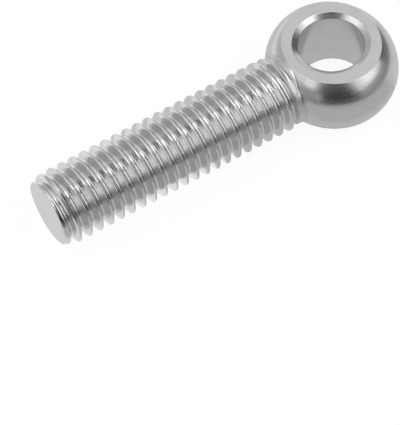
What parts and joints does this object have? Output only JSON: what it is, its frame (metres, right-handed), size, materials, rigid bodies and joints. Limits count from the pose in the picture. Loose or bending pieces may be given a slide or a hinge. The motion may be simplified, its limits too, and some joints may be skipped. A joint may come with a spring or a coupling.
{
  "type": "shoulder eye bolt",
  "caption": "Eye bolt: a round bulged eye with flat sides and a chamfered bore, on a straight threaded shank with a short neck and a tapered tip.",
  "frame": {"origin": "on the axis of the eye's bore, midway between the eye's two flats", "axes": "+Z along the bore, +X along the shank towards its tip, +Y completing the frame; the bolt lies flat, bore upright"},
  "size_m": [0.0406, 0.0142, 0.008],
  "materials": {
    "steel": "bright satin, finely brushed"
  },
  "bodies": {
    "root": {"eye_bolt": "steel"}
  },
  "joints": []
}
